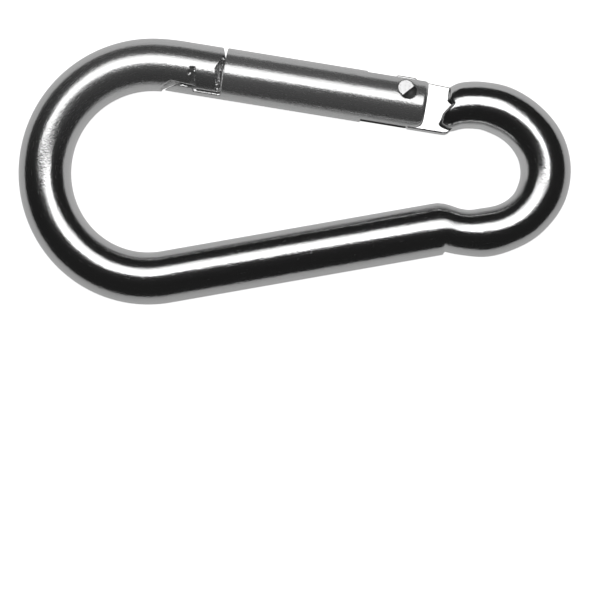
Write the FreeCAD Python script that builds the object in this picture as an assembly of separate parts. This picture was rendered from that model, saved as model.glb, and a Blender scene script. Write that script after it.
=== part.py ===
import FreeCAD
import Part
import math
import os

# A spring snap hook made of bent round steel bar, millimetres throughout.
# It lies flat: +X runs along its length towards the small eye, +Y towards the
# gate, and +Z up. The origin is under the middle of the hook, at its underside.

Vector = FreeCAD.Vector

# The bar
bar_radius = 4.75
mid_height = bar_radius

# The leg, opposite the gate, and the large bow it runs into
leg_end_x = 22.71
leg_end_y = -11.11
leg_angle = 9.95
leg_length = 46.8
low_bow_radius = 18.6
low_bow_sweep = 68.8
high_bow_radius = 19.6
shoulder_radius = 35.7
shoulder_sweep = 6.8

# The small eye, and the tight bends that neck it in at both ends
neck_lead = 3.3
neck_radius = 5.3
low_neck_sweep = 25.6
low_eye_radius = 15.7
low_eye_sweep = 42.0
end_eye_radius = 10.65
end_eye_sweep = 99.1
high_eye_radius = 13.9
high_neck_sweep = 26.0
tongue_run = 1.2
eye_bar_radii = [4.75, 4.15, 4.45, 4.3, 4.3, 4.5, 4.57, 4.57, 4.5, 4.5, 4.3, 4.15, 4.15]

# The gate lies on a line of its own: u runs along it from the hinge to the nose
# and v runs outwards. Its datum is the foot of the hinge pin on the gate's axis.
gate_slope = 9.24
datum_x = 19.52
datum_y = 12.36
gate_radius = 4.7
pivot_v = 2.35

# The gate's hinge end: two ears with a slot between them
ear_end_u = -4.1
ear_corner = 1.9
slot_end_u = 7.1
slot_width = 3.4

# The bore along the gate that holds the spring and its plunger
bore_radius = 2.5
bore_end_u = 27.5
bore_tip = 1.3

# The gate's nose end: a thin floor under the hammer head, ending in a lip
face_u = 32.7
floor_v = -3.95
lip_root_u = 37.75
lip_root_v = -3.55
lip_top_u = 40.45
lip_top_v = -3.4
lip_tip_u = 43.1

# The flat tongue of the body, which carries the pin and pushes the plunger
tongue_thickness = 3.3
tongue_end_u = 2.3
tongue_top_v = 4.62
tongue_low_v = -4.5
push_gap = 0.04
cam_reach = 40.0
pin_radius = 1.5
pin_clearance = 0.05
pin_head_radius = 1.72
pin_head_depth = 0.75
pin_half_length = 4.5

# The hammer head at the end of the body's nose
nose_tip_x = -12.9
head_front_x = -14.3
head_back_x = -17.85
head_low_v = -3.75
neck_back_v = -3.35
neck_front_v = -3.1
notch_wall_u = 43.5
notch_lean = 1.65
groove_width = 0.9
groove_depth = 0.8

# The plunger and its spring
plunger_radius = 2.45
plunger_length = 6.0
stem_radius = 1.35
stem_length = 5.0
wire_radius = 0.35
coil_radius = 1.95
coil_turns = 15


def place(u, v, height=0.0):
    # A point given on the gate's line, as a point in the hook's frame
    slope = math.radians(gate_slope)
    x = datum_x - u * math.cos(slope) + v * math.sin(slope)
    y = datum_y + u * math.sin(slope) + v * math.cos(slope)
    return Vector(x, y, mid_height + height)


def along_gate():
    slope = math.radians(gate_slope)
    return Vector(-math.cos(slope), math.sin(slope), 0)


def heading(degrees):
    angle = math.radians(degrees)
    return Vector(math.cos(angle), math.sin(angle), 0)


def bend(start, course, radius, sweep):
    # One bend of a path: positive sweeps turn left. Gives its arc, its end and the new course.
    side = 1 if sweep > 0 else -1
    centre = start + heading(course + 90 * side) * radius
    middle = centre + heading(course - 90 * side + sweep / 2) * radius
    end = centre + heading(course - 90 * side + sweep) * radius
    return Part.Arc(start, middle, end).toShape(), end, course + sweep


def round_bar(edges, radius):
    # Round bar swept along a chain of edges
    path = Part.Wire(edges)
    first = edges[0]
    start = first.valueAt(first.FirstParameter)
    direction = first.tangentAt(first.FirstParameter)
    profile = Part.Wire(Part.makeCircle(radius, start, direction))
    return path.makePipeShell([profile], True, False)


def prism(points, low, high):
    # A straight-sided block over a closed outline of (u, v) points
    corners = [place(u, v, low) for u, v in points]
    face = Part.Face(Part.makePolygon(corners + corners[:1]))
    return face.extrude(Vector(0, 0, high - low))


def leg_and_bow():
    # From the small eye's neck, along the leg and round the bow to the nose
    start = Vector(leg_end_x, leg_end_y, mid_height) + heading(leg_angle) * neck_lead
    corner = start - heading(leg_angle) * (leg_length + neck_lead)
    course = leg_angle + 180
    edges = [Part.makeLine(start, corner)]
    arc, corner, course = bend(corner, course, low_bow_radius, -low_bow_sweep)
    edges.append(arc)
    arc, corner, course = bend(corner, course, high_bow_radius, shoulder_sweep - gate_slope - course)
    edges.append(arc)
    arc, corner, course = bend(corner, course, shoulder_radius, -shoulder_sweep)
    edges.append(arc)
    reach = (nose_tip_x - corner.x) / math.cos(math.radians(course))
    edges.append(Part.makeLine(corner, corner + heading(course) * reach))
    return round_bar(edges, bar_radius)


def eye():
    # The small eye. Its bar is pressed a little thinner than the leg, most of all in the necks.
    start = Vector(leg_end_x, leg_end_y, mid_height) + heading(leg_angle) * neck_lead
    bends = [(neck_radius, -low_neck_sweep), (low_eye_radius, low_eye_sweep), (end_eye_radius, end_eye_sweep)]
    turned = leg_angle + sum(sweep for radius, sweep in bends)
    bends.append((high_eye_radius, 180 - gate_slope - turned + high_neck_sweep))
    bends.append((neck_radius, -high_neck_sweep))
    corner = start
    course = leg_angle
    arcs = []
    for radius, sweep in bends:
        arc, corner, course = bend(corner, course, radius, sweep)
        arcs.append(arc)
    arcs.append(Part.makeLine(corner, corner + heading(course) * tongue_run))
    path = Part.Wire(arcs)
    total = path.Length
    sections = []
    steps = 4 * (len(eye_bar_radii) - 1)
    for step in range(steps + 1):
        radius = eye_radius_at(step / steps)
        point, tangent = point_on(arcs, total * step / steps)
        sections.append(Part.Wire(Part.makeCircle(radius, point, tangent)))
    return Part.makeLoft(sections, True, False)


def eye_radius_at(fraction):
    # Smooth change between the listed radii
    place_in_list = fraction * (len(eye_bar_radii) - 1)
    index = min(int(place_in_list), len(eye_bar_radii) - 2)
    blend = (1 - math.cos(math.pi * (place_in_list - index))) / 2
    return eye_bar_radii[index] * (1 - blend) + eye_bar_radii[index + 1] * blend


def point_on(edges, distance):
    # The point and direction at a distance along a chain of edges
    for edge in edges:
        if distance <= edge.Length + 1e-6:
            parameter = edge.getParameterByLength(min(distance, edge.Length))
            return edge.valueAt(parameter), edge.tangentAt(parameter)
        distance -= edge.Length
    return edges[-1].valueAt(edges[-1].LastParameter), edges[-1].tangentAt(edges[-1].LastParameter)


def tongue_outline():
    # The tongue's end follows the curve that moves the plunger evenly as the gate turns
    corner = 0.6
    points = [(-2.3, 4.15), (-1.5, tongue_top_v), (tongue_end_u - corner, tongue_top_v)]
    points.append((tongue_end_u, tongue_top_v - corner))
    steps = 14
    for step in range(steps + 1):
        angle = math.radians(cam_reach) * step / steps
        reach = tongue_end_u + pivot_v * angle
        u = reach * math.cos(angle) - pivot_v * math.sin(angle)
        v = pivot_v - reach * math.sin(angle) - pivot_v * math.cos(angle)
        points.append((u, v))
    points.append((-1.6, tongue_low_v))
    points.append((-7.9, tongue_low_v))
    for degrees in (-70, -45, -20):
        angle = math.radians(degrees)
        points.append((-8.1 - 1.3 * math.cos(angle), tongue_low_v + 1.3 + 1.3 * math.sin(angle)))
    points += [(-10.5, -1.0), (-10.5, 2.0), (-8.2, 3.9)]
    return points


def shoulder_cuts():
    # What is pressed away above and below the tongue, up to the shoulder with its small nick
    outline = [(-7.87, 7), (-7.87, 3.93), (-8.02, 1.61), (-9.0, 1.0), (-7.58, -0.95)]
    outline += [(-7.33, -2.33), (-6.4, -3.8), (-5.9, -7), (6, -7), (6, 7)]
    half = tongue_thickness / 2
    return [prism(outline, half, 9), prism(outline, -9, -half)]


def nose_cuts():
    # What is cut from the bar's end to leave the hammer head and the neck behind it
    under = [to_gate(nose_tip_x + 3, 22.6), to_gate(nose_tip_x - 0.05, 22.6)]
    under += [to_gate(nose_tip_x, 20.2), to_gate(head_front_x + 0.6, 19.5), to_gate(head_front_x, 17.8)]
    front_u, front_v = to_gate(head_front_x, 14.3)
    back_u, back_v = to_gate(head_back_x, 14.9)
    under += [(front_u, head_low_v), (back_u, head_low_v - 0.05)]
    under += [(back_u + 0.2, neck_back_v), (notch_wall_u - notch_lean, neck_front_v)]
    under += [(notch_wall_u, -4.4), (notch_wall_u + 0.3, -7), (20, -7), (20, 9), (front_u - 3, 9)]
    grooves = []
    for side in (1, -1):
        flat = side * (bar_radius - groove_depth)
        groove = [to_gate(head_back_x, 18.8), to_gate(head_back_x, 12)]
        groove += [to_gate(head_back_x - groove_width, 12), to_gate(head_back_x - groove_width, 18.8)]
        low, high = sorted((flat, side * 9))
        grooves.append(prism(groove, low, high))
    return [prism(under, -9, 9)] + grooves


def to_gate(x, y):
    # The reverse of place: a point in the hook's frame, on the gate's line
    slope = math.radians(gate_slope)
    du = -(x - datum_x) * math.cos(slope) + (y - datum_y) * math.sin(slope)
    dv = (x - datum_x) * math.sin(slope) + (y - datum_y) * math.cos(slope)
    return du, dv


def upright_pin(radius, low, high):
    # A cylinder standing on the pivot
    return Part.makeCylinder(radius, high - low, place(0, pivot_v, low))


def hook_body():
    tongue = prism(tongue_outline(), -tongue_thickness / 2, tongue_thickness / 2)
    loop = eye().cut(Part.makeCompound(shoulder_cuts()))
    bar = leg_and_bow().cut(Part.makeCompound(nose_cuts()))
    solid = bar.fuse([loop, tongue])
    solid = solid.cut(upright_pin(pin_radius + pin_clearance, -9, 9))
    return solid.removeSplitter()


def gate():
    # Round bar, bored for the spring, slotted for the tongue and cut away for the hammer head
    start = place(ear_end_u, 0)
    bar = Part.makeCylinder(gate_radius, lip_tip_u - ear_end_u, start, along_gate())
    bore = Part.makeCylinder(bore_radius, bore_end_u - ear_end_u, start, along_gate())
    tip = Part.makeCone(bore_radius, 0, bore_tip, place(bore_end_u, 0), along_gate())
    half = slot_width / 2
    slot = prism([(ear_end_u - 1, 7), (slot_end_u, 7), (slot_end_u, -7), (ear_end_u - 1, -7)], -half, half)
    pocket = [(face_u, 7), (face_u, floor_v), (lip_root_u, floor_v), (lip_root_u + 0.15, lip_root_v)]
    pocket += [(lip_top_u, lip_top_v), (lip_tip_u, -gate_radius), (lip_tip_u + 1, -7), (lip_tip_u + 1, 7)]
    corner = corner_waste()
    waste = [bore, tip, slot, prism(pocket, -9, 9), corner, upright_pin(pin_radius, -9, 9)]
    waste += [pin_recess(1), pin_recess(-1)]
    return bar.cut(waste).removeSplitter()


def corner_waste():
    # Outside the rounded lower corner of the ears
    block = prism([(ear_end_u - 1, -7), (ear_end_u - 1, ear_corner - gate_radius),
                   (ear_end_u + ear_corner, ear_corner - gate_radius), (ear_end_u + ear_corner, -7)], -9, 9)
    centre = place(ear_end_u + ear_corner, ear_corner - gate_radius, -9)
    return block.cut(Part.makeCylinder(ear_corner, 18, centre))


def pin_recess(side):
    # The countersink that the pin's head is hammered into
    start = place(0, pivot_v, side * (pin_half_length - pin_head_depth))
    return Part.makeCone(pin_radius, pin_head_radius, pin_head_depth, start, Vector(0, 0, side))


def hinge_pin():
    # A rivet: its ends are hammered out into the ears, each left with a slanting flat
    solid = upright_pin(pin_radius, -pin_half_length, pin_half_length)
    solid = solid.fuse([pin_recess(1), pin_recess(-1)])
    for side in (1, -1):
        slant = Part.makeBox(8, 8, 4, Vector(-4, -8, 0))
        slant.rotate(Vector(0, 0, 0), Vector(1, 0, 0), 32)
        slant.rotate(Vector(0, 0, 0), Vector(0, 0, 1), 38)
        slant.translate(Vector(0.25, -0.2, 0))
        if side < 0:
            slant = slant.mirror(Vector(0, 0, 0), Vector(0, 0, 1))
        slant.translate(place(0, pivot_v, side * (pin_half_length - 0.05)))
        solid = solid.cut(slant)
    return solid.removeSplitter()


def plunger():
    # A short piston with a flat face to the tongue and a stem inside the spring
    start = place(tongue_end_u + push_gap, 0)
    head = Part.makeCylinder(plunger_radius, plunger_length, start, along_gate())
    stem_start = place(tongue_end_u + push_gap + plunger_length, 0)
    stem = Part.makeCylinder(stem_radius, stem_length, stem_start, along_gate())
    solid = head.fuse(stem).removeSplitter()
    ends = [edge for edge in solid.Edges if abs(edge.Length - 2 * math.pi * plunger_radius) < 0.01]
    return solid.makeChamfer(0.25, ends[:1])


def spring():
    # A compression spring between the plunger and the bottom of the bore
    start_u = tongue_end_u + push_gap + plunger_length + wire_radius + 0.03
    end_u = bore_end_u - wire_radius - 0.02
    length = end_u - start_u
    helix = Part.makeHelix(length / coil_turns, length, coil_radius)
    profile = Part.Wire(Part.makeCircle(wire_radius, Vector(coil_radius, 0, 0), Vector(0, 1, 0)))
    coil = Part.Wire(helix).makePipeShell([profile], True, True)
    turn = FreeCAD.Rotation(Vector(0, 0, 1), along_gate())
    coil.Placement = FreeCAD.Placement(place(start_u, 0), turn)
    return coil


pieces = {
    "hook_body": hook_body(),
    "gate": gate(),
    "hinge_pin": hinge_pin(),
    "plunger": plunger(),
    "spring": spring(),
}

os.makedirs("parts", exist_ok=True)
for name, solid in pieces.items():
    solid.exportStep("parts/" + name + ".step")
    box = solid.BoundBox
    print(name, solid.ShapeType, len(solid.Solids), solid.isValid(), round(solid.Volume, 1),
          [round(n, 2) for n in (box.XMin, box.XMax, box.YMin, box.YMax, box.ZMin, box.ZMax)])
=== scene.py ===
import math

import bmesh
import bpy
import numpy as np
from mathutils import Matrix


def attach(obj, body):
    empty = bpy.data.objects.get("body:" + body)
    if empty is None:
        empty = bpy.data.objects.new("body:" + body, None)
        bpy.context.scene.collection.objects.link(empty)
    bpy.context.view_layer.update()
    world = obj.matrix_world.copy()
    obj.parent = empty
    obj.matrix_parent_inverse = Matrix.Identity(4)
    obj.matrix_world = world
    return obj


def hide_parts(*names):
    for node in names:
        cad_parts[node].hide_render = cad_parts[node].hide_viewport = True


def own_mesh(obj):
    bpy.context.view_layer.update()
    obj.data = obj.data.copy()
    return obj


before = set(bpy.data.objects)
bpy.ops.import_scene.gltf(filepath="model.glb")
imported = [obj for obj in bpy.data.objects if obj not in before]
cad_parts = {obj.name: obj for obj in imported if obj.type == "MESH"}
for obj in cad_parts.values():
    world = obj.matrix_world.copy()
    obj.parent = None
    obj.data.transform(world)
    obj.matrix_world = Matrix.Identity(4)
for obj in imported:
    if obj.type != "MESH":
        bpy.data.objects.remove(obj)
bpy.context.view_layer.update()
print("frame loaded")

# Shapes are worked out in millimetres and made in metres
mm = 0.001
midHeight = 4.75

# The line of the gate: u runs along it to the nose, v outwards, from the foot of the hinge pin
gateLine = {"x": 19.52, "y": 12.36, "slope": math.radians(9.24), "pivotV": 2.35}


def toGate(points):
    # x, y, z of the hook as u, v, w of the gate
    c, s = math.cos(gateLine["slope"]), math.sin(gateLine["slope"])
    x, y = points[:, 0] - gateLine["x"], points[:, 1] - gateLine["y"]
    return np.stack([-x * c + y * s, x * s + y * c, points[:, 2] - midHeight], 1)


def fromGate(points):
    c, s = math.cos(gateLine["slope"]), math.sin(gateLine["slope"])
    u, v = points[:, 0], points[:, 1]
    x = gateLine["x"] - u * c + v * s
    y = gateLine["y"] + u * s + v * c
    return np.stack([x, y, points[:, 2] + midHeight], 1)


def pointToGate(x, y):
    u, v, w = toGate(np.array([[x, y, midHeight]]))[0]
    return u, v


# The bent bar, from the nose round the bow, down the leg and round the small eye to the tongue
barShape = {
    "legPoint": (22.71, -11.11),
    "legAngle": 9.95,
    "neckLead": 3.3,
    "bow": [(46.8 + 3.3, 0), (18.6, 68.8), (19.6, None), (35.7, 6.8)],
    "noseTip": -12.9,
    "eye": [(5.3, -25.6), (15.7, 42.0), (10.65, 99.1), (13.9, None), (5.3, -26.0)],
    "tongueRun": 2.5,
    "radius": 4.75,
    "eyeRadii": [4.75, 4.15, 4.45, 4.3, 4.3, 4.5, 4.57, 4.57, 4.5, 4.5, 4.3, 4.15, 4.15],
    "stepShare": 0.6,
}


def unit(degrees):
    return np.array([math.cos(math.radians(degrees)), math.sin(math.radians(degrees))])


def addBend(runs, start, course, radius, sweep):
    side = 1 if sweep > 0 else -1
    centre = start + unit(course + 90 * side) * radius
    runs.append({"centre": centre, "radius": radius, "from": course - 90 * side, "sweep": sweep,
                 "length": radius * math.radians(abs(sweep))})
    return centre + unit(course - 90 * side + sweep) * radius, course + sweep


def addLine(runs, start, course, length):
    runs.append({"start": start, "course": course, "length": length})
    return start + unit(course) * length, course


def makeBarPath():
    # Built outwards from the leg's end: back along the leg to the nose, then on round the eye
    shape = barShape
    neck = np.array(shape["legPoint"]) + unit(shape["legAngle"]) * shape["neckLead"]
    back = []
    corner, course = addLine(back, neck, shape["legAngle"] + 180, shape["bow"][0][0])
    gateCourse = -math.degrees(gateLine["slope"])
    last = shape["bow"][3]
    corner, course = addBend(back, corner, course, shape["bow"][1][0], -shape["bow"][1][1])
    corner, course = addBend(back, corner, course, shape["bow"][2][0], gateCourse + last[1] - course)
    corner, course = addBend(back, corner, course, last[0], -last[1])
    reach = (shape["noseTip"] - corner[0]) / math.cos(math.radians(course))
    corner, course = addLine(back, corner, course, reach)
    runs = []
    for run in reversed(back):
        if "centre" in run:
            runs.append({**run, "from": run["from"] + run["sweep"], "sweep": -run["sweep"]})
        else:
            end = run["start"] + unit(run["course"]) * run["length"]
            runs.append({"start": end, "course": run["course"] + 180, "length": run["length"]})
    corner, course = neck, shape["legAngle"]
    for radius, sweep in shape["eye"]:
        if sweep is None:
            sweep = 180 + gateCourse - course - shape["eye"][-1][1]
        corner, course = addBend(runs, corner, course, radius, sweep)
    addLine(runs, corner, course, shape["tongueRun"])
    at = 0.0
    for run in runs:
        run["at"] = at
        at += run["length"]
    return runs, at


barPath, barLength = makeBarPath()
neckAt = sum(run["length"] for run in barPath[:5])
eyeLength = barLength - neckAt - barShape["tongueRun"] + 1.2


def barRadius(along):
    # Full size on the leg and bow, a little less round the eye
    radii = np.array(barShape["eyeRadii"])
    place = np.clip((along - neckAt) / eyeLength, 0, 1) * (len(radii) - 1)
    index = np.minimum(place.astype(int), len(radii) - 2)
    share = np.where(index == 0, np.minimum(1, place / barShape["stepShare"]), place - index)
    blend = (1 - np.cos(np.pi * share)) / 2
    return radii[index] * (1 - blend) + radii[index + 1] * blend


def nearestOnBar(points, runs):
    # For each point: how far along the bar, how far to the side, and the distance to the bar's middle line
    best = np.full(len(points), 1e9)
    along = np.zeros(len(points))
    side = np.zeros(len(points))
    for run in runs:
        if "centre" in run:
            away = points[:, :2] - run["centre"]
            turn = math.copysign(1, run["sweep"])
            middle = math.radians(run["from"] + run["sweep"] / 2)
            angle = np.arctan2(away[:, 1], away[:, 0]) - middle
            angle = (angle + np.pi) % (2 * np.pi) - np.pi
            half = math.radians(abs(run["sweep"])) / 2
            held = np.clip(angle, -half, half)
            near = run["centre"] + run["radius"] * np.stack([np.cos(held + middle), np.sin(held + middle)], 1)
            here = run["at"] + (held * turn + half) * run["radius"]
            offset = (run["radius"] - np.hypot(away[:, 0], away[:, 1])) * turn
        else:
            way = unit(run["course"])
            offStart = points[:, :2] - run["start"]
            held = np.clip(offStart @ way, 0, run["length"])
            near = run["start"] + held[:, None] * way
            here = run["at"] + held
            offset = offStart @ np.array([-way[1], way[0]])
        gap = np.hypot(*(points[:, :2] - near).T)
        closer = gap < best
        best = np.where(closer, gap, best)
        along = np.where(closer, here, along)
        side = np.where(closer, offset, side)
    return along, side, best


def onBar(along):
    # The point and course at a distance along the bar
    for run in barPath:
        if along <= run["at"] + run["length"] + 1e-9:
            break
    step = along - run["at"]
    if "centre" in run:
        angle = run["from"] + math.copysign(math.degrees(step / run["radius"]), run["sweep"])
        return run["centre"] + unit(angle) * run["radius"], angle + math.copysign(90, run["sweep"])
    return run["start"] + unit(run["course"]) * step, run["course"]


print("bar path laid out,", round(barLength, 1), "mm of bar")


def barSpace(points):
    # The bar pulled straight: along it, across it, and height
    along, side, gap = nearestOnBar(points, barPath)
    return np.stack([along, side, points[:, 2] - midHeight], 1)


def gateSpace(points):
    return toGate(points) + np.array([300.0, 0, 0])


def finishMesh(name, points, faces, grainOf, sharp=35):
    # A mesh object in metres, with its straightened coordinates kept for the materials
    mesh = bpy.data.meshes.new(name)
    mesh.from_pydata((points * mm).tolist(), [], faces)
    mesh.validate()
    mesh.update()
    grain = mesh.attributes.new("grain", "FLOAT_VECTOR", "POINT")
    kept = np.empty(len(mesh.vertices) * 3)
    mesh.vertices.foreach_get("co", kept)
    grain.data.foreach_set("vector", grainOf(kept.reshape(-1, 3) / mm).astype(np.float32).ravel())
    mesh.polygons.foreach_set("use_smooth", [True] * len(mesh.polygons))
    mesh.set_sharp_from_angle(angle=math.radians(sharp))
    piece = bpy.data.objects.new(name, mesh)
    bpy.context.scene.collection.objects.link(piece)
    print(name, "made with", len(faces), "faces")
    return piece


# Solid shapes as fields: below zero inside the metal, and about the distance to its skin
def joined(a, b, soft):
    h = np.clip(0.5 + 0.5 * (b - a) / soft, 0, 1)
    return b * (1 - h) + a * h - soft * h * (1 - h)


def without(a, b, soft):
    return -joined(-a, b, soft)


def within(a, b, soft):
    return -joined(-a, -b, soft)


def outlineField(points, outline):
    # Distance to a closed outline in the first two coordinates
    p = points[:, :2]
    corners = np.array(outline)
    best = np.full(len(p), 1e9)
    sign = np.ones(len(p))
    for a, b in zip(corners, np.roll(corners, -1, 0)):
        edge = b - a
        w = p - a
        t = np.clip(w @ edge / (edge @ edge), 0, 1)
        best = np.minimum(best, ((w - t[:, None] * edge) ** 2).sum(1))
        above = p[:, 1] >= a[1]
        below = p[:, 1] < b[1]
        left = edge[0] * w[:, 1] > edge[1] * w[:, 0]
        sign = np.where((above & below & left) | (~above & ~below & ~left), -sign, sign)
    return sign * np.sqrt(best)


def uneven(points, size):
    # Lumps about half a millimetre across, for sheared and hammered faces
    x, y, z = points.T
    lumps = np.sin(7.3 * x + 1.9 * np.sin(4.1 * y)) * np.sin(6.1 * y + 1.3 * np.sin(7.7 * z))
    return size * (lumps + 0.5 * np.sin(15.1 * x + 9.7 * z) * np.sin(13.3 * y + 11.0 * z))


def slabField(points, low, high):
    return np.maximum(low - points[:, 2], points[:, 2] - high)


def prismField(points, outline, low, high):
    return np.maximum(outlineField(points, outline), slabField(points, low, high))


def meshFromField(field, low, high, step):
    # A skin of quads round where the field is zero, then moved exactly onto it
    axes = [np.arange(a, b + step, step) for a, b in zip(low, high)]
    grid = np.stack(np.meshgrid(*axes, indexing="ij"), -1)
    shape = grid.shape[:3]
    value = field(grid.reshape(-1, 3)).reshape(shape)
    cells = tuple(n - 1 for n in shape)
    total = np.zeros(cells + (3,))
    count = np.zeros(cells)
    crossings = []
    for axis in range(3):
        second, third = (axis + 1) % 3, (axis + 2) % 3
        lower = [slice(None)] * 3
        upper = [slice(None)] * 3
        lower[axis], upper[axis] = slice(0, -1), slice(1, None)
        a, b = value[tuple(lower)], value[tuple(upper)]
        crossing = (a < 0) != (b < 0)
        share = np.where(crossing, a / np.where(crossing, a - b, 1), 0)
        point = grid[tuple(lower)].copy()
        point[..., axis] += share * step
        for i in (0, 1):
            for j in (0, 1):
                part = [slice(None)] * 3
                part[second] = slice(i, shape[second] - 1 + i)
                part[third] = slice(j, shape[third] - 1 + j)
                part = tuple(part)
                total += point[part] * crossing[part][..., None]
                count += crossing[part]
        crossings.append((axis, second, third, crossing, a < 0))
    used = count > 0
    number = np.full(cells, -1)
    number[used] = np.arange(used.sum())
    points = total[used] / count[used][:, None]
    faces = []
    for axis, second, third, crossing, inside in crossings:
        at = np.argwhere(crossing)
        good = (at[:, second] > 0) & (at[:, third] > 0)
        good &= (at[:, second] < cells[second]) & (at[:, third] < cells[third])
        at = at[good]
        ring = []
        for i, j in ((-1, -1), (0, -1), (0, 0), (-1, 0)):
            cell = at.copy()
            cell[:, second] += i
            cell[:, third] += j
            ring.append(number[tuple(cell.T)])
        quads = np.stack(ring, 1)
        outwards = inside[tuple(at.T)]
        quads[~outwards] = quads[~outwards][:, ::-1]
        faces.append(quads)
    for turn in range(3):
        small = 0.01
        rises = [field(points + small * way) - field(points - small * way) for way in np.eye(3)]
        slope = np.stack(rises, 1) / (2 * small)
        size = np.maximum((slope ** 2).sum(1), 0.2)
        move = -(field(points) / size)[:, None] * slope
        points += np.clip(move, -step, step)
    return points, np.concatenate(faces).tolist()


def cutFlat(points, faces, through, outwards):
    # Cuts a mesh with a plane, keeps the side behind it and closes it with a flat end
    work = bmesh.new()
    verts = [work.verts.new(p) for p in points]
    for face in faces:
        work.faces.new([verts[i] for i in face])
    geometry = work.verts[:] + work.edges[:] + work.faces[:]
    cut = bmesh.ops.bisect_plane(work, geom=geometry, dist=1e-5, plane_co=through, plane_no=outwards,
                                 clear_outer=True)
    rim = [e for e in cut["geom_cut"] if isinstance(e, bmesh.types.BMEdge)]
    bmesh.ops.edgeloop_fill(work, edges=rim)
    work.verts.index_update()
    kept = np.array([v.co[:] for v in work.verts])
    made = [[v.index for v in f.verts] for f in work.faces]
    work.free()
    return kept, made


# The plain run of the bar between the nose and the tongue
plainBar = {"around": 96, "step": 0.7, "noseSeam": 17.0, "tongueSeam": 17.0, "topSpread": 3.4}


def makePlainBar():
    first, last = plainBar["noseSeam"], barLength - plainBar["tongueSeam"]
    rings = int((last - first) / plainBar["step"])
    around = plainBar["around"]
    angles = np.arange(around) * 2 * np.pi / around
    spread = np.linspace(-plainBar["topSpread"], plainBar["topSpread"], 9)
    points = []
    for ring in range(rings + 1):
        along = first + (last - first) * ring / rings
        centre, course = onBar(along)
        across = unit(course + 90)
        # The bar draws in gently on top and quickly at its sides
        sideRadius = float(barRadius(np.array([along]))[0])
        topRadius = float(barRadius(along + spread).mean())
        for angle in angles:
            radius = sideRadius + (topRadius - sideRadius) * max(0.0, math.sin(angle)) ** 2
            xy = centre + across * radius * math.cos(angle)
            points.append((xy[0], xy[1], midHeight + radius * math.sin(angle)))
    faces = []
    for ring in range(rings):
        for k in range(around):
            n = (k + 1) % around
            here, beyond = ring * around, (ring + 1) * around
            faces.append((here + k, here + n, beyond + n, beyond + k))
    faces = [face[::-1] for face in faces]
    faces.append(tuple(range(around)))
    faces.append(tuple(range(rings * around, (rings + 1) * around))[::-1])
    return finishMesh("bar_bow_and_leg", np.array(points), faces, barSpace)


def barField(points, runs):
    along, side, gap = nearestOnBar(points, runs)
    return np.hypot(gap, points[:, 2] - midHeight) - barRadius(along)


# The hammer head at the nose, with the neck behind it that the gate's lip lies under
nose = {
    "tipX": -12.55, "headFront": -14.3, "headBack": -17.85, "headLow": -3.75, "neckBack": -3.35,
    "neckFront": -3.1, "wallU": 43.5, "wallLean": 1.65, "edge": 0.12, "step": 0.11,
    "grooveWidth": 1.0, "grooveDepth": 0.65, "grooveFlat": 0.22, "grooveTop": 18.3,
    "grooveRun": 0.75, "grooveEdge": 0.08, "grooveLumps": 0.09, "cutLumps": 0.02,
    "ledgeTop": 2.6, "ledgeFront": -13.55, "ledgeEdge": 0.15, "ledgeLumps": 0.22,
    "dentX": -18.72, "dentY": 17.2, "dentRadius": 0.6, "dentSink": 0.68, "dentEdge": 0.12,
}


def makeNose():
    # "under" is cut away for the gate's floor and lip, "ahead" leaves the rough ledge in front of the head
    tip, front, back = nose["tipX"], nose["headFront"], nose["headBack"]
    backU = pointToGate(back, 14.9)[0]
    under = [pointToGate(tip + 3, 22.9), pointToGate(tip - 0.4, 22.7), pointToGate(tip, 20.2)]
    under += [pointToGate(nose["ledgeFront"] + 0.4, 18.5), pointToGate(nose["ledgeFront"], 15.0)]
    under += [(pointToGate(nose["ledgeFront"], 14.2)[0], nose["headLow"]), (backU, nose["headLow"] - 0.03)]
    under += [(backU + 0.2, nose["neckBack"]), (nose["wallU"] - nose["wallLean"], nose["neckFront"])]
    under += [(nose["wallU"], -4.4), (nose["wallU"] + 0.3, -7), (20, -7), (20, 9)]
    under += [pointToGate(tip + 3, 28)]
    ahead = [pointToGate(front, 10), pointToGate(front, 18.0), pointToGate(tip - 0.25, 20.4)]
    ahead += [pointToGate(tip + 4, 20.4), pointToGate(tip + 4, 10)]
    dentV = pointToGate(nose["dentX"], nose["dentY"])[1]
    dentTop = math.sqrt(barShape["radius"] ** 2 - dentV ** 2) + nose["dentRadius"] * nose["dentSink"]
    runs = barPath[:4]

    def field(points):
        bar = barField(points, runs)
        line = toGate(points)
        height = np.abs(line[:, 2])
        solid = without(bar, outlineField(line, under) + uneven(points, nose["cutLumps"]), nose["edge"])
        ledge = nose["ledgeTop"] + uneven(points, nose["ledgeLumps"]) - height
        solid = without(solid, np.maximum(outlineField(line, ahead), ledge), nose["ledgeEdge"])
        behind = back - points[:, 0]
        fall = nose["grooveDepth"] * np.clip((nose["grooveWidth"] - behind) / nose["grooveRun"], -1, 1)
        fall = fall + uneven(points, nose["grooveLumps"]) * (behind < nose["grooveFlat"])
        groove = np.maximum(-(bar + fall), np.maximum(-behind, points[:, 1] - nose["grooveTop"]))
        solid = without(solid, groove, nose["grooveEdge"])
        dent = np.hypot(points[:, 0] - nose["dentX"], points[:, 1] - nose["dentY"])
        return without(solid, np.hypot(dent, height - dentTop) - nose["dentRadius"], nose["dentEdge"])

    seam, course = onBar(plainBar["noseSeam"])
    low = (seam[0] - 1.5, 13.2, -0.6)
    points, faces = meshFromField(field, low, (tip + 0.6, 24.8, 10.1), nose["step"])
    way = unit(course)
    points, faces = cutFlat(points, faces, (seam[0], seam[1], midHeight), (way[0], way[1], 0))
    return finishMesh("bar_nose", points, faces, barSpace)


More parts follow.
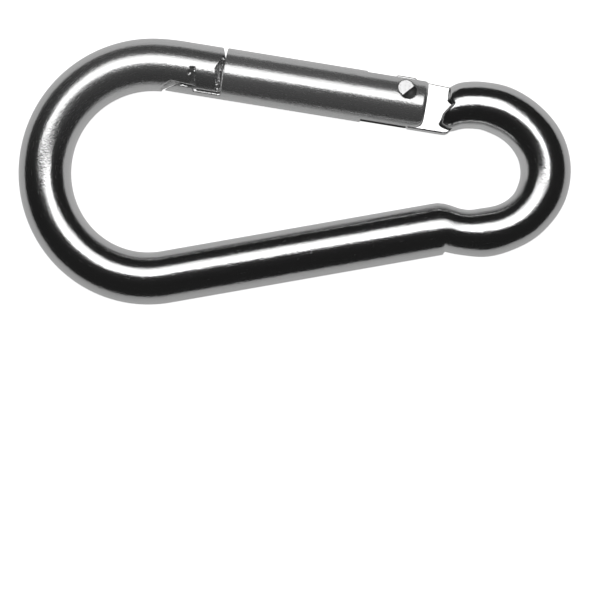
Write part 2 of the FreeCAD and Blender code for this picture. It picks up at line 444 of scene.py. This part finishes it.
# The flat tongue and the shoulder it is pressed out of
tongue = {
    "thickness": 3.3, "endU": 2.3, "topV": 4.62, "lowV": -4.5, "corner": 0.6, "reach": 40.0,
    "hole": 1.55, "holeEdge": 0.1, "rim": 0.25, "edge": 0.45, "taperFrom": -10.0, "taper": 0.11,
    "heel": 1.3, "camSteps": 14, "step": 0.14,
}


def tongueOutline():
    # The end that pushes the plunger is an involute, so the plunger moves evenly with the gate
    pivot = gateLine["pivotV"]
    points = [(-2.3, 4.15), (-1.5, tongue["topV"]), (tongue["endU"] - tongue["corner"], tongue["topV"])]
    points.append((tongue["endU"], tongue["topV"] - tongue["corner"]))
    for step in range(tongue["camSteps"] + 1):
        angle = math.radians(tongue["reach"]) * step / tongue["camSteps"]
        reach = tongue["endU"] + pivot * angle
        points.append((reach * math.cos(angle) - pivot * math.sin(angle),
                       pivot - reach * math.sin(angle) - pivot * math.cos(angle)))
    points += [(-1.6, tongue["lowV"]), (-7.9, tongue["lowV"])]
    heel = tongue["heel"]
    for degrees in (-70, -45, -20):
        angle = math.radians(degrees)
        points.append((-8.1 - heel * math.cos(angle), tongue["lowV"] + heel + heel * math.sin(angle)))
    return points + [(-10.5, -1.0), (-10.5, 2.0), (-8.2, 3.9)]


def makeTongue():
    plate = tongueOutline()
    shoulder = [(-7.87, 7), (-7.87, 3.93), (-8.02, 1.61), (-8.9, 1.0), (-7.58, -0.95)]
    shoulder += [(-7.33, -2.33), (-6.4, -3.8), (-5.9, -7), (6, -7), (6, 7)]
    half = tongue["thickness"] / 2
    runs = barPath[-4:]
    pivot = gateLine["pivotV"]

    def field(points):
        line = toGate(points)
        bar = barField(points, runs) + tongue["taper"] * np.clip(line[:, 0] - tongue["taperFrom"], 0, 4) ** 2
        bar = without(bar, outlineField(line, shoulder), tongue["edge"])
        flat = within(outlineField(line, plate), np.abs(line[:, 2]) - half, tongue["rim"])
        solid = joined(bar, flat, tongue["rim"])
        hole = tongue["hole"] - np.hypot(line[:, 0], line[:, 1] - pivot)
        return within(solid, hole, tongue["holeEdge"])

    seam, course = onBar(barLength - plainBar["tongueSeam"])
    points, faces = meshFromField(field, (16.4, 5.2, -0.2), (seam[0] + 3.0, 18.6, 9.7), tongue["step"])
    way = -unit(course)
    points, faces = cutFlat(points, faces, (seam[0], seam[1], midHeight), (way[0], way[1], 0))
    return finishMesh("bar_tongue", points, faces, barSpace)


# The rivet the gate turns on: its ends are hammered flat, with a slanting facet beside the flat
rivet = {
    "radius": 1.5, "height": 4.22, "lean": 6.0, "facetFrom": 0.72, "facetU": -0.73, "facetV": -0.68,
    "facetLean": 34.0, "facetEdge": 0.05, "edge": 0.22, "lumps": 0.012, "gap": 0.03, "step": 0.09,
}

# The gate: bored round bar with two ears at the hinge, and a floor and lip at the nose
gateShape = {
    "radius": 4.7, "earEnd": -4.1, "earCorner": 1.9, "earRound": 0.8, "earTop": 4.53, "slotEnd": 7.1,
    "slotWidth": 3.4, "bore": 2.5, "boreEnd": 27.5, "face": 32.7, "floor": -3.95, "floorLand": 1.9,
    "lipRoot": 37.75, "lipRootV": -3.55, "lipTop": 40.45, "lipTopV": -3.4, "lipTip": 43.1,
    "lipLand": 2.85, "pinHole": 1.5, "edge": 0.15, "step": 0.15,
    "recessShift": 0.72, "recessHeight": 3.1, "recessEdge": 0.15, "topEdge": 0.08, "landEdge": 0.06,
    "boreEdge": 0.12, "slotEdge": 0.2, "pocketLumps": 0.015, "floorLumps": 0.02, "lipLumps": 0.06,
}


def makeGate():
    # Outlines in u and v: the pocket for the nose, what is trimmed off beside the floor and the lip,
    # the end with the ears, the flats on the ears' tops and the slot for the tongue
    g = gateShape
    pocket = [(g["face"], 7), (g["face"], g["floor"]), (g["lipRoot"], g["floor"])]
    pocket += [(g["lipRoot"] + 0.15, g["lipRootV"]), (g["lipTop"], g["lipTopV"]), (g["lipTip"], -g["radius"])]
    pocket += [(g["lipTip"] + 1, -7), (g["lipTip"] + 3, -7), (g["lipTip"] + 3, 7)]
    land = [(g["face"] + 0.1, -3.5), (g["lipRoot"], -3.5), (g["lipRoot"], -6), (g["face"] + 0.1, -6)]
    lipStart, lipEnd = g["lipRoot"] + 0.1, g["lipTop"] - 0.2
    lipLand = [(lipStart, -3), (lipEnd, -3), (lipEnd, -6), (lipStart, -6)]
    end, corner, low = g["earEnd"], g["earCorner"], -g["radius"]
    ears = [(end, 7), (end, corner + low)]
    for degrees in range(195, 271, 15):
        angle = math.radians(degrees)
        ears.append((end + corner + corner * math.cos(angle), corner + low + corner * math.sin(angle)))
    ears += [(end + corner + 4, low - 1.5), (50, -8), (50, 7)]
    top = [(end - 2, g["earTop"]), (-1.95, g["earTop"]), (-1.75, g["radius"] + 0.1), (1.6, g["radius"] + 0.1)]
    top += [(1.8, g["earTop"]), (6.8, g["earTop"]), (7.0, 7), (end - 2, 7)]
    slot = [(-8, 7), (g["slotEnd"], 7), (g["slotEnd"], -7), (-8, -7)]
    floorTrim = (land, g["floorLand"], g["floorLumps"])
    lipTrim = (lipLand, g["lipLand"], g["lipLumps"])
    half = g["slotWidth"] / 2
    pivot = gateLine["pivotV"]
    recessU = rivet["facetU"] * g["recessShift"]
    recessV = pivot + rivet["facetV"] * g["recessShift"]

    def field(line):
        u, v, w = line.T
        across = np.hypot(v, w)
        solid = within(across - g["radius"], outlineField(line, ears), g["earRound"])
        recess = np.hypot(u - recessU, v - recessV) - g["pinHole"]
        solid = without(solid, np.maximum(recess, g["recessHeight"] - np.abs(w)), g["recessEdge"])
        solid = without(solid, outlineField(line, top), g["topEdge"])
        solid = without(solid, outlineField(line, pocket) + uneven(line, g["pocketLumps"]), g["edge"])
        for outline, width, lumps in (floorTrim, lipTrim):
            side = width + uneven(line, lumps) - np.abs(w)
            solid = without(solid, np.maximum(outlineField(line, outline), side), g["landEdge"])
        solid = without(solid, np.maximum(across - g["bore"], u - g["boreEnd"]), g["boreEdge"])
        solid = without(solid, prismField(line, slot, -half, half), g["slotEdge"])
        return without(solid, np.hypot(u, v - pivot) - g["pinHole"], g["boreEdge"])

    points, faces = meshFromField(field, (end - 0.5, -5.2, -5.2), (g["lipTip"] + 0.6, 5.2, 5.2), g["step"])
    faces = [face[::-1] for face in faces]
    return finishMesh("gate_bar", fromGate(points), faces, gateSpace)


def makeRivet():
    pivot = gateLine["pivotV"]
    flatSlope = math.tan(math.radians(rivet["lean"]))
    facetSlope = math.tan(math.radians(rivet["facetLean"]))
    shift, gap = gateShape["recessShift"], rivet["gap"]

    def field(line):
        u, v, w = line.T
        side = np.hypot(u, v - pivot) - rivet["radius"]
        spread = np.hypot(u - rivet["facetU"] * shift, v - pivot - rivet["facetV"] * shift)
        spread = spread - rivet["radius"] + gap
        side = np.minimum(side, np.maximum(spread, gateShape["recessHeight"] + 0.02 - np.abs(w)))
        flat = np.abs(w) - rivet["height"] + (v - pivot) * flatSlope
        away = u * rivet["facetU"] + (v - pivot) * rivet["facetV"]
        facet = (flat + (away - rivet["facetFrom"]) * facetSlope) * math.cos(math.radians(rivet["facetLean"]))
        end = within(side, flat + uneven(line, rivet["lumps"]), rivet["edge"])
        return within(end, facet, rivet["facetEdge"])

    low = (-2.4, pivot - 2.4, -4.9)
    points, faces = meshFromField(field, low, (1.8, pivot + 1.8, 4.9), rivet["step"])
    faces = [face[::-1] for face in faces]
    return finishMesh("rivet", fromGate(points), faces, gateSpace)


# The spring in the gate's bore, pressed by the plunger as the gate turns
spring = {"wire": 0.35, "radius": 1.95, "turns": 15, "from": 8.75, "to": 27.1, "around": 12, "perTurn": 32,
          "keep": 0.925}


def makeSpring():
    steps = spring["turns"] * spring["perTurn"]
    points = []
    for step in range(steps + 1):
        turn = 2 * math.pi * step / spring["perTurn"]
        u = spring["from"] + (spring["to"] - spring["from"]) * step / steps
        for k in range(spring["around"]):
            angle = 2 * math.pi * k / spring["around"]
            reach = spring["radius"] + spring["wire"] * math.cos(angle)
            across = spring["wire"] * math.sin(angle)
            points.append((u + across, reach * math.cos(turn), reach * math.sin(turn)))
    faces = []
    around = spring["around"]
    for step in range(steps):
        for k in range(around):
            n = (k + 1) % around
            here, beyond = step * around, (step + 1) * around
            faces.append((here + k, here + n, beyond + n, beyond + k))
    faces.append(tuple(range(around))[::-1])
    faces.append(tuple(range(steps * around, (steps + 1) * around)))
    return finishMesh("coil", fromGate(np.array(points)), faces, gateSpace)


bowAndLeg = makePlainBar()
noseEnd = makeNose()
tongueEnd = makeTongue()
gateBar = makeGate()
rivetPiece = makeRivet()
coil = makeSpring()

barPieces = (bowAndLeg, noseEnd, tongueEnd)
for piece in barPieces:
    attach(piece, "body")
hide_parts("hook_body")
gatePieces = ((gateBar, "gate", "plated_gate"), (rivetPiece, "hinge_pin", "rivet_steel"),
              (coil, "spring", "spring_wire"))
for piece, node, slot in gatePieces:
    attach(piece, "gate")
    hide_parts(node)
# The coil rests against the bottom of the bore: that end point is worked out here, and the coil gets a mesh
# of its own
boreEnd = fromGate(np.array([[gateShape["boreEnd"], 0.0, 0.0]]))[0] * mm
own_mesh(coil)
print("hook made")


# Materials
class Value:
    # A number or colour on its way through a material's nodes
    def __init__(self, nodes, socket):
        self.nodes = nodes
        self.socket = socket

    def worked(self, operation, first, second):
        return self.nodes.add("ShaderNodeMath", {"operation": operation}, {0: first, 1: second})

    def __add__(self, other):
        return self.worked("ADD", self, other)

    def __sub__(self, other):
        return self.worked("SUBTRACT", self, other)

    def __rsub__(self, other):
        return self.worked("SUBTRACT", other, self)

    def __mul__(self, other):
        return self.worked("MULTIPLY", self, other)

    __radd__ = __add__
    __rmul__ = __mul__


class Nodes:
    def __init__(self, name):
        self.material = bpy.data.materials.new(name)
        self.material.use_nodes = True
        self.tree = self.material.node_tree
        self.tree.nodes.clear()

    def add(self, kind, settings=None, sockets=None, output=0):
        node = self.tree.nodes.new(kind)
        for name, value in (settings or {}).items():
            if name == "stops":
                ramp = node.color_ramp
                while len(ramp.elements) < len(value):
                    ramp.elements.new(0.5)
                for element, (place, shade) in zip(ramp.elements, value):
                    element.position = place
                    element.color = (shade, shade, shade, 1)
            else:
                setattr(node, name, value)
        for name, value in (sockets or {}).items():
            if isinstance(value, Value):
                self.tree.links.new(value.socket, node.inputs[name])
            else:
                node.inputs[name].default_value = value
        return Value(self, node.outputs[output]) if node.outputs else None

    def grain(self):
        return self.add("ShaderNodeAttribute", {"attribute_name": "grain"}, output="Vector")

    def stretched(self, vector, scale, shift=(0, 0, 0)):
        moved = self.add("ShaderNodeVectorMath", {"operation": "MULTIPLY"}, {0: vector, 1: scale})
        return self.add("ShaderNodeVectorMath", {"operation": "ADD"}, {0: moved, 1: shift})

    def noise(self, vector, scale, detail=2.0, roughness=0.5):
        return self.add("ShaderNodeTexNoise", {}, {"Vector": vector, "Scale": scale, "Detail": detail,
                                                   "Roughness": roughness}, "Fac")

    def ramp(self, value, stops):
        return self.add("ShaderNodeValToRGB", {"stops": stops}, {"Fac": value}, "Color")

    def fade(self, value, low, high, toLow=0.0, toHigh=1.0):
        return self.add("ShaderNodeMapRange", {"interpolation_type": "SMOOTHSTEP"},
                        {"Value": value, 1: low, 2: high, 3: toLow, 4: toHigh})

    def finish(self, sockets, seenDirectly=None):
        surface = self.add("ShaderNodeBsdfPrincipled", {}, sockets)
        if seenDirectly:
            seen = self.add("ShaderNodeBsdfPrincipled", {}, {**sockets, **seenDirectly})
            direct = self.add("ShaderNodeLightPath", {}, {}, "Is Camera Ray")
            surface = self.add("ShaderNodeMixShader", {}, {0: direct, 1: surface, 2: seen})
        self.add("ShaderNodeOutputMaterial", {}, {"Surface": surface})
        return self.material


# Heights are in millimetres. "end" is where lengths are counted from: the bar's nose, the gate's hinge
plated = {
    "shade": 0.56, "shadeChange": 0.10, "rough": 0.07, "roughChange": 0.12, "endRough": 0.08,
    "ripple": 0.010, "lines": 0.004, "pits": 0.014, "bumps": 0.016, "scratches": 0.0012,
    "pitRough": 0.06, "scratchRough": 0.1, "dull": 0.0, "endDull": 0.15, "endFrom": 50.0, "endTo": 18.0,
}
platedGate = {**plated, "rough": 0.14, "ripple": 0.006, "dull": 0.25}


def platedMetal(name, looks):
    # Bright zinc plate over drawn bar: faint lines along it, soft ripples and fine pits
    n = Nodes(name)
    grain = n.grain()
    drawn = n.noise(n.stretched(grain, (0.12, 2.6, 2.6)), 1.0, 4.0, 0.62)
    fineLines = n.noise(n.stretched(grain, (0.35, 9.0, 9.0), (7, 3, 1)), 1.0, 2.0, 0.6)
    ripple = n.noise(n.stretched(grain, (0.35, 0.8, 0.8), (2, 9, 4)), 1.0, 2.0, 0.5)
    pits = n.noise(n.stretched(grain, (3.2, 3.2, 3.2), (5, 5, 2)), 1.0, 1.5, 0.6)
    bumps = n.noise(n.stretched(grain, (0.7, 1.3, 1.3), (3, 6, 8)), 1.0, 2.0, 0.6)
    scratch = n.ramp(n.noise(n.stretched(grain, (0.5, 14.0, 14.0), (1, 8, 3)), 1.0, 1.0, 0.5),
                     [(0.0, 0.0), (0.66, 0.0), (0.72, 1.0), (1.0, 1.0)])
    height = ripple * looks["ripple"] + drawn * looks["lines"] + pits * looks["pits"] + bumps * looks["bumps"]
    normal = n.add("ShaderNodeBump", {}, {"Height": height - scratch * looks["scratches"], "Distance": mm,
                                           "Strength": 1.0}, "Normal")
    shade = drawn * looks["shadeChange"] + (looks["shade"] - looks["shadeChange"] / 2)
    colour = n.add("ShaderNodeCombineColor", {}, {"Red": shade, "Green": shade, "Blue": shade}, "Color")
    along = n.add("ShaderNodeSeparateXYZ", {}, {"Vector": grain}, "X")
    nearEnd = n.fade(along, looks["endFrom"], looks["endTo"])
    rough = fineLines * looks["roughChange"] + pits * looks["pitRough"] + scratch * looks["scratchRough"]
    rough = rough + nearEnd * looks["endRough"] + looks["rough"]
    metallic = (1.0 - looks["dull"]) - nearEnd * looks["endDull"]
    return n.finish({"Base Color": colour, "Metallic": metallic, "Roughness": rough, "Normal": normal})


# Marks per metre along x, y and z, and their depth in millimetres
steel = {"scale": (1500, 2500, 4000), "depth": 0.002, "shadeChange": 0.1, "roughChange": 0.15}


def plainSteel(name, shade, rough):
    # Small steel pieces: fine turning marks in the object's own space
    n = Nodes(name)
    place = n.add("ShaderNodeTexCoord", {}, {}, "Object")
    marks = n.noise(n.stretched(place, steel["scale"]), 1.0, 3.0, 0.6)
    height = marks * steel["depth"]
    normal = n.add("ShaderNodeBump", {}, {"Height": height, "Distance": mm, "Strength": 1.0}, "Normal")
    change = marks * steel["shadeChange"] + (shade - steel["shadeChange"] / 2)
    colour = n.add("ShaderNodeCombineColor", {}, {"Red": change, "Green": change, "Blue": change}, "Color")
    return n.finish({"Base Color": colour, "Metallic": 1.0, "Roughness": marks * steel["roughChange"] + rough,
                     "Normal": normal})


barMetal = platedMetal("bright_zinc_bar", plated)
gateMetal = platedMetal("bright_zinc_gate", platedGate)
pinMetal = plainSteel("cut_rivet_steel", 0.45, 0.25)
innerMetal = plainSteel("turned_steel", 0.5, 0.3)
springMetal = plainSteel("spring_wire", 0.45, 0.25)
for piece in barPieces:
    piece.data.materials.append(barMetal)
gateBar.data.materials.append(gateMetal)
rivetPiece.data.materials.append(pinMetal)
coil.data.materials.append(springMetal)
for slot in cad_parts["plunger"].material_slots:
    slot.material = innerMetal
print("metals made")

# Floor, lights and camera
studio = {
    "floorSize": 4.0, "floorShade": 0.8, "floorGlow": 0.66, "floorBounce": 0.31,
    "surround": 0.02, "backdrop": 0.85,
    "cameraX": 0.82, "cameraY": -23.4, "cameraHeight": 326.0, "frameHeight": 108.8,
}
keyBox = {
    "from": (-150, 19), "to": (115, 206), "turn": -10.0, "height": 255.0, "radiance": 3.6, "spread": 110,
}


def makeFloor():
    mesh = bpy.data.meshes.new("floor")
    half = studio["floorSize"] / 2
    corners = [(-half, -half, 0), (half, -half, 0), (half, half, 0), (-half, half, 0)]
    mesh.from_pydata(corners, [], [(0, 1, 2, 3)])
    floor = bpy.data.objects.new("floor", mesh)
    bpy.context.scene.collection.objects.link(floor)
    # The floor glows more to the camera than to the metal, which keeps the ground white and the metal dark
    shade = studio["floorShade"]
    looks = {"Base Color": (shade, shade, shade, 1), "Roughness": 0.9, "Specular IOR Level": 0.1,
             "Emission Color": (1, 1, 1, 1), "Emission Strength": studio["floorBounce"]}
    seen = {"Emission Strength": studio["floorBounce"] + studio["floorGlow"]}
    mesh.materials.append(Nodes("pale_floor").finish(looks, seen))


def makeBoxLight(name, box):
    # A soft box beside the camera, over the gate's side of the hook
    light = bpy.data.lights.new(name, "AREA")
    light.shape = "RECTANGLE"
    light.size = (box["to"][0] - box["from"][0]) * mm
    light.size_y = (box["to"][1] - box["from"][1]) * mm
    light.spread = math.radians(box["spread"])
    # A narrower spread makes the box brighter straight ahead, which is taken back out here
    narrowed = 1 - light.spread / 2 / math.tan(light.spread / 2)
    light.energy = box["radiance"] * math.pi * light.size * light.size_y * narrowed
    lamp = bpy.data.objects.new(name, light)
    middle = [(low + high) / 2 * mm for low, high in zip(box["from"], box["to"])]
    lamp.location = (middle[0], middle[1], box["height"] * mm)
    lamp.rotation_euler = (0, 0, math.radians(box["turn"]))
    bpy.context.scene.collection.objects.link(lamp)


def makeSurround():
    # Dim round the object, as in a dark room, but pale where the camera looks straight at it
    world = bpy.data.worlds.new("surround")
    bpy.context.scene.world = world
    world.use_nodes = True
    tree = world.node_tree
    tree.nodes.clear()
    path = tree.nodes.new("ShaderNodeLightPath")
    dim = tree.nodes.new("ShaderNodeBackground")
    pale = tree.nodes.new("ShaderNodeBackground")
    mix = tree.nodes.new("ShaderNodeMixShader")
    out = tree.nodes.new("ShaderNodeOutputWorld")
    for node, shade in ((dim, studio["surround"]), (pale, studio["backdrop"])):
        node.inputs["Color"].default_value = (shade, shade, shade, 1)
    tree.links.new(path.outputs["Is Camera Ray"], mix.inputs[0])
    tree.links.new(dim.outputs[0], mix.inputs[1])
    tree.links.new(pale.outputs[0], mix.inputs[2])
    tree.links.new(mix.outputs[0], out.inputs["Surface"])


def makeCamera():
    data = bpy.data.cameras.new("camera")
    camera = bpy.data.objects.new("camera", data)
    height = studio["cameraHeight"]
    data.sensor_width = 36
    data.lens = 36 * height / studio["frameHeight"]
    data.clip_start, data.clip_end = 0.01, 20
    camera.location = (studio["cameraX"] * mm, studio["cameraY"] * mm, (height + midHeight) * mm)
    bpy.context.scene.collection.objects.link(camera)
    bpy.context.scene.camera = camera


makeFloor()
makeBoxLight("key_box", keyBox)
makeSurround()
makeCamera()
bpy.context.scene.view_settings.view_transform = "Standard"
print("studio set")
